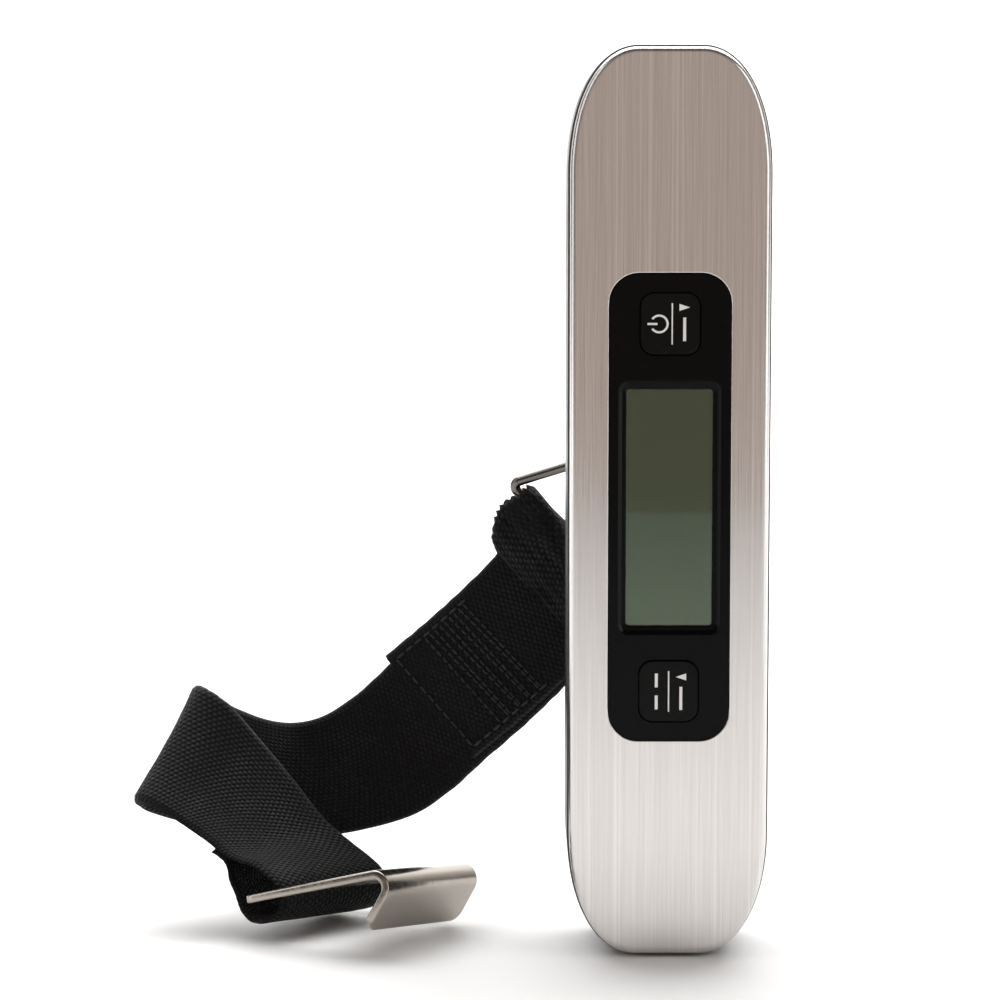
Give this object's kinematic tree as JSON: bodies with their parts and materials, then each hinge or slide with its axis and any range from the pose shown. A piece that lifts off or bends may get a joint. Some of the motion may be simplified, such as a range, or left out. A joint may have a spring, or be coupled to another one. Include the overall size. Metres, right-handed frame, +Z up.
{
  "type": "luggage scale",
  "caption": "Bar-shaped hanging luggage scale with a display panel, two buttons, a swivelling load eye, a wire ring, a webbing strap and a sheet-metal hook.",
  "frame": {"origin": "centre of the flat lower end of the handle, halfway between its face and its back", "axes": "+X to the right seen from the front, -Y out of the steel face, +Z up along the handle"},
  "size_m": [0.1122, 0.0568, 0.156],
  "materials": {
    "face_steel": "fine brushing along the length",
    "shell_black": "smooth satin",
    "panel_black": "polished",
    "button_black": "polished",
    "window_clear": "clear",
    "lcd_grey": "unlit reflective display",
    "white_plastic": "moulded",
    "bush_white": "low-friction plastic",
    "soft_rubber": "striped contact rubber",
    "board_green": "solder mask",
    "chip_black": "moulded cap",
    "switch_metal": "stamped",
    "screw_steel": "zinc plated",
    "screw_dark": "blackened",
    "frame_steel": "stamped",
    "cell_aluminium": "milled",
    "gauge_foil": "foil on film",
    "lead_red": "insulated wire",
    "contact_brass": "spring strip",
    "battery_steel": "plain",
    "bright_metal": "bright nickel",
    "webbing_black": "plain woven nylon webbing"
  },
  "bodies": {
    "handle": {"steel_face": "face_steel", "front_shell": "shell_black", "display_panel": "panel_black", "lcd_window": "window_clear", "lcd_glass": "lcd_grey", "lcd_holder": "white_plastic", "elastomer_strips": "soft_rubber", "circuit_board": "board_green", "controller_chip": "chip_black", "board_screws": "screw_steel", "tact_switches": "switch_metal", "rear_housing": "shell_black", "inner_frame": "frame_steel", "frame_screws": "screw_steel", "load_cell": "cell_aluminium", "strain_gauges": "gauge_foil", "gauge_wires": "lead_red", "cell_spacer": "frame_steel", "cell_screws": "screw_steel", "thrust_washer": "bush_white", "stud_bush": "bush_white", "battery_holder": "white_plastic", "battery_spring": "contact_brass", "battery_clip": "contact_brass", "coin_cell": "battery_steel", "battery_leads": "lead_red", "housing_screws": "screw_dark"},
    "power_key": {"power_button": "button_black", "power_plunger": "white_plastic"},
    "unit_key": {"unit_button": "button_black", "unit_plunger": "white_plastic"},
    "battery_door": {"battery_cover": "shell_black"},
    "eye": {"swivel_stud": "bright_metal", "stud_nut": "screw_steel"},
    "ring_link": {"ring": "bright_metal"},
    "strap_run": {"strap": "webbing_black"},
    "hook_plate": {"hook": "bright_metal"}
  },
  "joints": [
    {"name": "power_press", "type": "slide", "parent": "handle", "child": "power_key", "axis": [0, 1, 0], "range_m": [0, 0.0004], "stiffness_N_per_m": 400, "springref_m": -0.0005},
    {"name": "unit_press", "type": "slide", "parent": "handle", "child": "unit_key", "axis": [0, 1, 0], "range_m": [0, 0.0004], "stiffness_N_per_m": 400, "springref_m": -0.0005},
    {"name": "battery_cover_turn", "type": "hinge", "parent": "handle", "child": "battery_door", "pos_m": [0, 0.013, 0.022], "axis": [0, 1, 0], "range_deg": [0, 45]},
    {"name": "eye_swivel", "type": "hinge", "parent": "handle", "child": "eye", "pos_m": [0, 0, 0.082], "axis": [0, 1, 0], "range_deg": [-10, 110]},
    {"name": "ring_hinge", "type": "hinge", "parent": "eye", "child": "ring_link", "pos_m": [0, 0.0175, 0.082], "axis": [0.682, 0, -0.7314], "range_deg": [-8, 55]},
    {"name": "strap_hinge", "type": "hinge", "parent": "ring_link", "child": "strap_run", "pos_m": [-0.01636, 0.02564, 0.06675], "axis": [0.682, 0, -0.7314], "range_deg": [-8, 40]},
    {"name": "hook_swing", "type": "hinge", "parent": "strap_run", "child": "hook_plate", "pos_m": [-0.06786, -0.00029, 0.00806], "axis": [0.7333, 0.6781, -0.0488], "range_deg": [-3, 30]}
  ]
}
